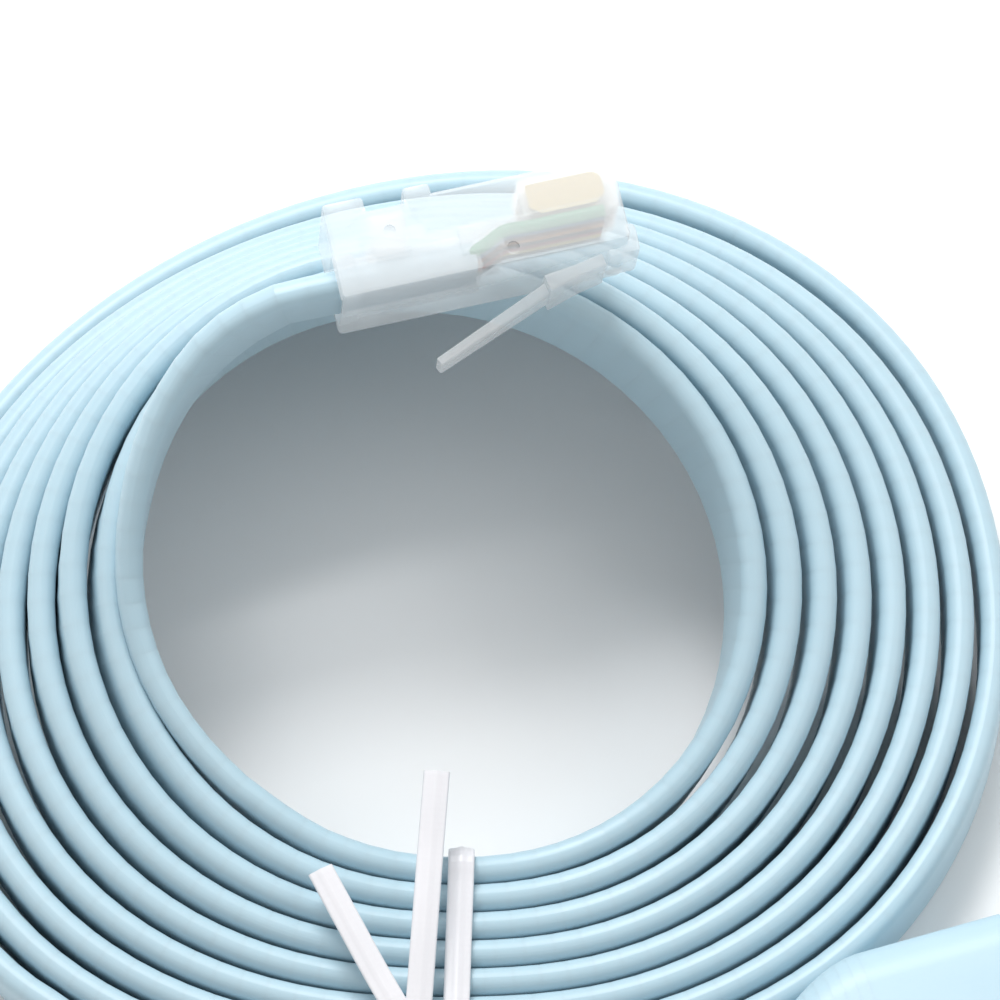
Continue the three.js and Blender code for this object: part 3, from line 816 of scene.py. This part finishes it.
class CONSOLE_OT_plug(bpy.types.Operator):
    """Make the clear body of the modular plug, with its pockets, slots and cable clamp"""

    bl_idname = "console.plug"
    bl_label = "Plug body"

    def execute(self, context):
        length, thick, wide = PLUG_SIZE
        side = wide / 2
        notch = (REAR + NOTCH_FROM_REAR, REAR + NOTCH_FROM_REAR + NOTCH_LENGTH)
        body = block((REAR, LATCH_FACE, -side), (NOSE, CONTACT_FACE, side), 0.4)
        joined = [
            block((REAR, 1, -side), (notch[0], CONTACT_FACE + CLAMP_RISE, side), 0.3),
            block(
                (notch[1], 1, -side), (notch[1] + CLAMP_BLOCK_LENGTH, CONTACT_FACE + CLAMP_RISE, side), 0.3
            ),
            block((NOSE - 1.6, LATCH_FACE - 0.5, -3.1), (NOSE + NOSE_LIP, LATCH_FACE + 1.7, 3.1), 0.35),
        ]
        body = carve(body, joined, "UNION")
        cutters = [
            block((REAR - 1, JACKET_LEVEL - 1.4, -3.7), (JACKET_END + 0.3, JACKET_LEVEL + 1.4, 3.7), 0.25),
            block((REAR - 1, JACKET_LEVEL - 1.65, -4.1), (REAR + 1.6, JACKET_LEVEL + 1.75, 4.1), 0.3),
            block((JACKET_END - 1, WIRE_LEVEL - 1.3, -4.4), (1.8, WIRE_LEVEL + 0.8, 4.4), 0.2),
            block(
                (0, WIRE_LEVEL - 0.75, -4.35), (NOSE - WIRE_END_MARGIN + 0.3, WIRE_LEVEL + 0.75, 4.35), 0.2
            ),
            block((notch[0], CONTACT_FACE - 0.45, -side - 1), (notch[1], CONTACT_FACE + 2, side + 1)),
            block((notch[0] + 0.1, -0.4, -4.2), (notch[1] - 0.1, CONTACT_FACE + 1, 4.2), 0.15),
        ]
        for i in range(WIRE_COUNT):
            z = wire_level(i)
            low = (CONTACT_REAR, WIRE_LEVEL, z - SLOT_WIDTH / 2)
            cutters.append(block(low, (NOSE + 1, CONTACT_FACE + 1, z + SLOT_WIDTH / 2)))
        cutters += [peg(0.45, 0.35, (x, y, side), 20) for x, y in ((-6.3, 1.0), (2.2, -2.1))]
        body = carve(body, cutters)
        make("plug_shell", body, clear(), PLUG, CABLE, "clear_plastic", ["plug_body"], sharp=25)
        clamp = block((-1.25, -1.3, -3.9), (1.25, 1.1, 3.9), 0.2)
        tilt = Matrix.Rotation(CLAMP_TILT, 3, "Z")
        bmesh.ops.rotate(clamp, cent=(0, 0, 0), matrix=tilt, verts=clamp.verts[:])
        bmesh.ops.translate(clamp, vec=((notch[0] + notch[1]) / 2, 1.45, 0), verts=clamp.verts[:])
        make("plug_clamp", clamp, clear(), PLUG, CABLE, "clear_plastic", sharp=25)
        return {"FINISHED"}


class CONSOLE_OT_latch(bpy.types.Operator):
    """Make the plug's spring latch: a wide root that steps down to a tapered thumb tab"""

    bl_idname = "console.latch"
    bl_label = "Latch"

    def execute(self, context):
        hinge = Vector((NOSE - 1.95, LATCH_FACE - 0.48, 0))
        step = Vector((NOSE - 6.1, LATCH_FACE - 1.35, 0))
        tip = Vector((NOSE - 15.3, LATCH_FACE - 5.1, 0))
        root_way = (step - hinge).normalized()
        tab_way = (tip - step).normalized()
        root = [
            station(hinge, root_way, UP, (1, 0.94)),
            station(hinge.lerp(step, 0.5), root_way, UP, (1.0, 0.98)),
            station(step + root_way * 0.35, root_way, UP, (1.45, 1.0)),
        ]
        tab = [
            station(step - tab_way * 0.9, tab_way, UP, (1, 1)),
            station(step.lerp(tip, 0.5), tab_way, UP, (0.88, 0.93)),
            station(tip, tab_way, UP, (0.72, 0.84)),
        ]
        wide = sweep(rounded_outline(LATCH_THICKNESS, LATCH_ROOT_WIDTH, 0.22, 3), root)
        narrow = sweep(rounded_outline(LATCH_THICKNESS, LATCH_TAB_WIDTH, 0.22, 3), tab)
        for bm in (wide, narrow):
            bmesh.ops.recalc_face_normals(bm, faces=bm.faces[:])
            bevel_sharp(bm, 0.12, angle=60)
        latch = carve(wide, [narrow], "UNION")
        make("latch_tab", latch, clear(), PLUG, LATCH, "clear_plastic", ["plug_latch"], sharp=25)
        return {"FINISHED"}


class CONSOLE_OT_wires(bpy.types.Operator):
    """Make the eight wires from the jacket's end to the contacts, and plate the contacts"""

    bl_idname = "console.wires"
    bl_label = "Wires and contacts"

    def execute(self, context):
        outline = circle_outline(WIRE_RADIUS, 16)
        for i, (slot, colour) in enumerate(WIRES):
            spread = i - (WIRE_COUNT - 1) / 2
            sway = 0.12 * math.sin(i * 2.1)
            points = [
                Vector((JACKET_END - 0.4, JACKET_LEVEL, spread * 0.84)),
                Vector((JACKET_END + 0.9, JACKET_LEVEL + 0.35 + sway, spread * 0.93)),
                Vector((JACKET_END + 2.4, WIRE_LEVEL - 0.1 + sway / 2, spread * WIRE_PITCH)),
                Vector((4.2, WIRE_LEVEL - 0.1, spread * WIRE_PITCH)),
                Vector((NOSE - WIRE_END_MARGIN, WIRE_LEVEL - 0.1, spread * WIRE_PITCH)),
            ]
            line = smooth_line(points, [UP] * len(points), 0.4)
            bm = sweep(outline, [station(*at) for at in line])
            material = plastic("wire_" + slot, colour, roughness=0.35, grain=6000.0, strength=0.1, tone=0.1)
            make("wire_run_" + slot, bm, material, PLUG, CABLE, "wire_" + slot, ["wire_%d" % (i + 1)])
        dress(["contact_%d" % (i + 1) for i in range(WIRE_COUNT)], gold())
        return {"FINISHED"}


class CONSOLE_OT_tie(bpy.types.Operator):
    """Make the twist tie: round the roll, twisted on top of it and out to its two free ends"""

    bl_idname = "console.tie"
    bl_label = "Twist tie"

    def execute(self, context):
        across = Vector((1, 0, 0))
        top = 8.25
        twist_x, twist_from, twist_to, twist_z = -1.6, -38.6, -34.0, 9.75
        coil = 0.62
        turns = 2.5

        def strand(phase, count=30):
            points = []
            for i in range(count + 1):
                t = i / count
                angle = phase + t * turns * 2 * math.pi
                out = Vector((math.cos(angle), 0, math.sin(angle)))
                y = twist_from + (twist_to - twist_from) * t
                points.append((Vector((twist_x, y, twist_z)) + out * coil, out))
            return points

        first = strand(math.pi * 0.5)
        second = strand(math.pi * 1.5)
        end_a = [
            (Vector((-8.4, -21.5, 11.2)), UP),
            (Vector((-6.6, -24.9, 10.9)), UP),
            (Vector((-4.4, -29.0, 10.5)), UP),
            (Vector((-2.6, -32.2, 10.2)), UP),
        ]
        end_b = [
            (Vector((-1.2, -32.2, 10.2)), UP),
            (Vector((-0.8, -27.0, 10.9)), UP),
            (Vector((-0.3, -20.0, 11.6)), UP),
            (Vector((0.15, -14.2, 12.4)), UP),
        ]
        loop = [
            (Vector((-1.4, -39.4, 8.0)), Vector((0, -1, 0.3))),
            (Vector((-0.6, -39.6, 4.6)), Vector((0, -1, 0))),
            (Vector((0.6, -39.2, 1.2)), Vector((0, -1, -0.3))),
            (Vector((1.4, -37.6, 0.3)), -UP),
            (Vector((1.7, -30.0, 0.3)), -UP),
            (Vector((1.8, -21.0, 0.3)), -UP),
            (Vector((1.9, -18.7, 1.0)), Vector((0, 1, -0.3))),
            (Vector((1.95, -18.35, 4.0)), Vector((0, 1, 0))),
            (Vector((1.95, -18.5, 7.2)), Vector((0, 1, 0.3))),
            (Vector((1.95, -19.5, 8.5)), Vector((0, 0.4, 1))),
            (Vector((1.9, -21.5, top + 0.2)), UP),
            (Vector((1.75, -26.0, top)), UP),
            (Vector((1.6, -31.0, top)), UP),
            (Vector((1.4, -35.4, top + 0.1)), UP),
            (Vector((0.6, -38.4, top + 0.4)), Vector((0, -0.5, 1))),
        ]
        path = end_a + first[::-1] + loop + second + end_b
        points = [on_roll(*p) for p, _ in path]
        line = smooth_line(points, [u for _, u in path], 0.0004)
        outline = [swollen(p * MM) for p in rounded_outline(TIE_WIDTH, TIE_STRIP_THICKNESS, 0.2, 4)]
        outline = densify(outline, 0.25 * MM)
        bm = sweep(outline, [station(*at) for at in line])
        bmesh.ops.recalc_face_normals(bm, faces=bm.faces[:])
        white = plastic("tie_vinyl", (0.74, 0.74, 0.77), roughness=0.34, grain=3500.0, strength=0.2, soft=0.1)
        piece = finish_mesh("tie_strip", bm, white, sharp=50)
        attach(piece, CABLE)
        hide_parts("twist_tie")
        return {"FINISHED"}


def swollen(point):
    """A point of the tie's outline, in metres, moved out over the wire inside it."""
    swell = TIE_WIRE_RISE * MM * math.exp(-((point.x / (TIE_WIRE_REACH * MM)) ** 2))
    return Vector((point.x, point.y + math.copysign(swell, point.y)))


def densify(outline, step):
    """The same closed outline with points no further apart than the step, swollen over its middle."""
    points = []
    for a, b in zip(outline, outline[1:] + outline[:1]):
        count = max(1, math.ceil((b - a).length / step))
        for i in range(count):
            spot = a.lerp(b, i / count)
            if i and abs(a.y - b.y) < 0.02 * MM:
                spot = swollen(spot)
            points.append(spot)
    return points


class CONSOLE_OT_hood(bpy.types.Operator):
    """Make the connector's moulded hood, with its shoulders, screw recesses and ribbed strain relief"""

    bl_idname = "console.hood"
    bl_label = "Connector hood"

    def execute(self, context):
        body_length, wide, high = HOOD_SIZE
        middle = Vector((0, 0, HOOD_MIDDLE))
        rear = -body_length - HOOD_SHOULDER

        def at(x, share_y=1.0, share_z=1.0):
            return station(Vector((x, 0, 0)) + middle, Vector((-1, 0, 0)), UP, (share_y, share_z))

        ways = [at(-0.05, 0.975, 0.95), at(-0.25, 0.992, 0.985), at(-0.6), at(-6), at(-13), at(-body_length)]
        for i in range(1, SHOULDER_STEPS + 1):
            t = i / SHOULDER_STEPS
            curve = t**SHOULDER_CURVE
            share_y = 1 + (HOOD_REAR_WIDTH / wide - 1) * curve
            ways.append(at(-body_length - HOOD_SHOULDER * t, share_y, 1 + (HOOD_REAR_SHARE - 1) * curve))
        body = sweep(rounded_outline(wide, high, HOOD_CORNER, 8), ways)
        bmesh.ops.recalc_face_normals(body, faces=body.faces[:])
        ribs = [at(rear + 1.5)]
        start = rear - 0.6
        rib = (start - RELIEF_REAR) / RIB_COUNT
        for i in range(RIB_COUNT):
            x = start - i * rib
            share = 1 - 0.17 * i / RIB_COUNT
            low = share - 0.14
            ribs += [at(x, share, share * 0.98), at(x - rib * 0.52, share - 0.01, (share - 0.02) * 0.98)]
            if i < RIB_COUNT - 1:
                ribs += [at(x - rib * 0.6, low, low * 0.95), at(x - rib * 0.92, low, low * 0.95)]
        ribs.append(at(RELIEF_REAR, 0.8, 0.72))
        relief = sweep(rounded_outline(10.4, 6.6, 2.0, 6), ribs)
        bmesh.ops.recalc_face_normals(relief, faces=relief.faces[:])
        bevel_sharp(relief, 0.12, angle=40)
        hood = carve(body, [relief], "UNION")
        cutters = [
            block((RELIEF_REAR - 1, -3.7, HOOD_MIDDLE - 1.4), (RELIEF_REAR + 4, 3.7, HOOD_MIDDLE + 1.4), 0.3),
            block((-17.2, -6.2, high - 0.35), (-3.2, 6.2, high + 2), 0.3),
        ]
        for side in (-1, 1):
            y = side * SCREW_SPACING / 2
            near = y - side * 3.8
            far = side * wide
            cutters.append(cylinder(1.7, -7, 1, y, HOOD_MIDDLE))
            low = (SCREW_RECESS[0], min(near, far), -1)
            cutters.append(block(low, (SCREW_RECESS[1], max(near, far), high + 1), 0.9))
        hood = carve(hood, cutters)
        colour = settings("connector").colour
        vinyl = plastic(
            "hood_vinyl", colour, roughness=0.44, grain=3600.0, strength=0.2, tone=0.05, soft=0.12
        )
        make(
            "hood_moulding", hood, vinyl, HOOD, CABLE, "hood_plastic", ["connector_hood"], edge=0.25, sharp=35
        )
        return {"FINISHED"}


def d_outline(wide, high, radius, steps=6):
    """The outline of the connector's sleeve: narrower below, with round corners."""
    lean = high * math.tan(math.radians(10))
    corners = [
        Vector((wide / 2, high / 2)),
        Vector((-wide / 2, high / 2)),
        Vector((-wide / 2 + lean, -high / 2)),
        Vector((wide / 2 - lean, -high / 2)),
    ]
    points = []
    for i, corner in enumerate(corners):
        before = (corners[i - 1] - corner).normalized()
        after = (corners[(i + 1) % 4] - corner).normalized()
        for j in range(steps + 1):
            t = j / steps
            start = corner + before * radius
            end = corner + after * radius
            points.append(start.lerp(corner, t).lerp(corner.lerp(end, t), t))
    return points


class CONSOLE_OT_shell(bpy.types.Operator):
    """Make the connector's plated shell, its insulator and its sockets' finish"""

    bl_idname = "console.shell"
    bl_label = "Connector face"

    def execute(self, context):
        place = HOOD @ Matrix.Translation((0, 0, HOOD_MIDDLE * MM))
        plate = prism(rounded_outline(30.8, 12.5, 1.2, 5), 0.3, 1.2, 0.12)
        sleeve = prism(d_outline(16.4, 8.0, 2.2), 0.5, 7.1, 0.12)
        shell = carve(plate, [sleeve], "UNION")
        cutters = [prism(d_outline(15.5, 7.1, 1.75), 0, 8)]
        for side in (-1, 1):
            cutters.append(cylinder(1.7, 0, 2, side * SCREW_SPACING / 2))
            cutters += [peg(0.55, 0.5, (4.6, side * 4.2, z * 4.35), 16) for z in (-1, 1)]
        shell = carve(shell, cutters)
        make("face_plating", shell, nickel(), place, CABLE, "plated_steel", ["connector_shell"], edge=0.08)
        wells = [
            cylinder(
                0.92,
                INSULATOR_FRONT - 3.7,
                INSULATOR_FRONT + 1,
                (i - (count - 1) / 2) * SOCKET_PITCH,
                (0.5 - row) * SOCKET_ROW_PITCH,
                20,
            )
            for row, count in enumerate(SOCKET_ROWS)
            for i in range(count)
        ]
        block_in = carve(prism(d_outline(14.9, 6.5, 1.45), 0.3, INSULATOR_FRONT, 0.2), wells)
        dark = plastic("insulator_resin", (0.018, 0.019, 0.022), roughness=0.4, grain=2600.0, strength=0.2)
        make(
            "face_insulator",
            block_in,
            dark,
            place,
            CABLE,
            "insulator_plastic",
            ["connector_insulator"],
            edge=0.08,
        )
        dress(["socket_%d" % (i + 1) for i in range(SOCKET_COUNT)], gold())
        return {"FINISHED"}


class CONSOLE_OT_screws(bpy.types.Operator):
    """Make both thumbscrews: a knurled knob with a driver slot, a shank and its thread"""

    bl_idname = "console.screws"
    bl_label = "Thumbscrews"

    def execute(self, context):
        for i, side in enumerate(("left", "right")):
            ridges = []
            for j in range(KNURL_POINTS):
                angle = 2 * math.pi * j / KNURL_POINTS
                radius = KNOB_RADIUS - (KNURL_DEPTH if j % 3 == 0 else 0.0)
                ridges.append(Vector((math.cos(angle), math.sin(angle))) * radius)
            knob = prism(ridges, -12.6, -6.4)
            bevel_sharp(knob, 0.16, angle=70, segments=1)
            collar = turned([(-6.6, 0), (-6.6, 2.5), (-5.75, 2.5), (-5.6, 2.3), (-5.6, 0)])
            head = turned([(-13.0, 0), (-13.0, 2.3), (-12.85, 2.5), (-12.4, 2.5), (-12.4, 0)])
            thread = [(-5.9, 0), (-5.9, 1.2), (0.8, 1.2), (1.3, 1.05)]
            x = 1.5
            while x < 6.2:
                thread += [(x, 1.0), (x + 0.16, 1.4), (x + 0.24, 1.4), (x + 0.4, 1.0)]
                x += THREAD_PITCH
            thread += [(6.5, 0.95), (6.8, 0.7), (6.8, 0)]
            screw = carve(knob, [collar, head, turned(thread, 28)], "UNION")
            screw = carve(screw, [block((-14, -0.35, -4), (-12.1, 0.35, 4))])
            y = (SCREW_SPACING / 2 if i == 0 else -SCREW_SPACING / 2) * MM
            place = HOOD @ Matrix.Translation((0, y, HOOD_MIDDLE * MM))
            nodes = ["thumbscrew_" + side]
            make("screw_" + side, screw, nickel(), place, SCREWS[side], "plated_steel", nodes, sharp=30)
        return {"FINISHED"}


class CONSOLE_OT_stage(bpy.types.Operator):
    """Lay the pale floor and set the soft lights"""

    bl_idname = "console.stage"
    bl_label = "Floor and lights"

    def execute(self, context):
        scene = context.scene
        bm = bmesh.new()
        bmesh.ops.create_grid(bm, x_segments=1, y_segments=1, size=3)
        material, _, shader = new_material("floor")
        shader.inputs["Base Color"].default_value = (0.93, 0.93, 0.93, 1)
        shader.inputs["Roughness"].default_value = 0.9
        floor = finish_mesh("floor", bm, material, Matrix.Translation((0, 0, -0.00005)))
        for name, spot, size, power in LIGHTS:
            data = bpy.data.lights.new(name, "AREA")
            data.size = size
            data.energy = power
            light = bpy.data.objects.new(name, data)
            light.location = ROLL + Vector(spot)
            light.rotation_euler = Vector(spot).to_track_quat("Z", "Y").to_euler()
            scene.collection.objects.link(light)
        world = bpy.data.worlds.new("studio")
        world.use_nodes = True
        world.node_tree.nodes["Background"].inputs["Color"].default_value = (1, 1, 1, 1)
        world.node_tree.nodes["Background"].inputs["Strength"].default_value = 0.5
        scene.world = world
        scene.view_settings.view_transform = "Standard"
        return {"FINISHED"}


class CONSOLE_PT_panel(bpy.types.Panel):
    """The pieces of the console cable"""

    bl_idname = "CONSOLE_PT_panel"
    bl_label = "Console Cable"
    bl_space_type = "VIEW_3D"
    bl_region_type = "UI"
    bl_category = "Console Cable"

    def draw(self, context):
        for name in STEPS:
            self.layout.operator("console." + name)


STEPS = ("camera", "cable", "plug", "latch", "wires", "tie", "hood", "shell", "screws", "cord", "stage")

CLASSES = (
    CableSettings,
    PlugSettings,
    ConnectorSettings,
    StageSettings,
    CONSOLE_OT_camera,
    CONSOLE_OT_cable,
    CONSOLE_OT_plug,
    CONSOLE_OT_latch,
    CONSOLE_OT_wires,
    CONSOLE_OT_tie,
    CONSOLE_OT_hood,
    CONSOLE_OT_shell,
    CONSOLE_OT_screws,
    CONSOLE_OT_cord,
    CONSOLE_OT_stage,
    CONSOLE_PT_panel,
)


def register():
    for cls in CLASSES:
        bpy.utils.register_class(cls)
    bpy.types.Scene.console_cable = bpy.props.PointerProperty(type=CableSettings)
    bpy.types.Scene.console_plug = bpy.props.PointerProperty(type=PlugSettings)
    bpy.types.Scene.console_connector = bpy.props.PointerProperty(type=ConnectorSettings)
    bpy.types.Scene.console_stage = bpy.props.PointerProperty(type=StageSettings)


def unregister():
    for kind in ("cable", "plug", "connector", "stage"):
        delattr(bpy.types.Scene, "console_" + kind)
    for cls in reversed(CLASSES):
        bpy.utils.unregister_class(cls)


def main():
    register()
    for name in STEPS:
        getattr(bpy.ops.console, name)()


if __name__ == "__main__":
    main()
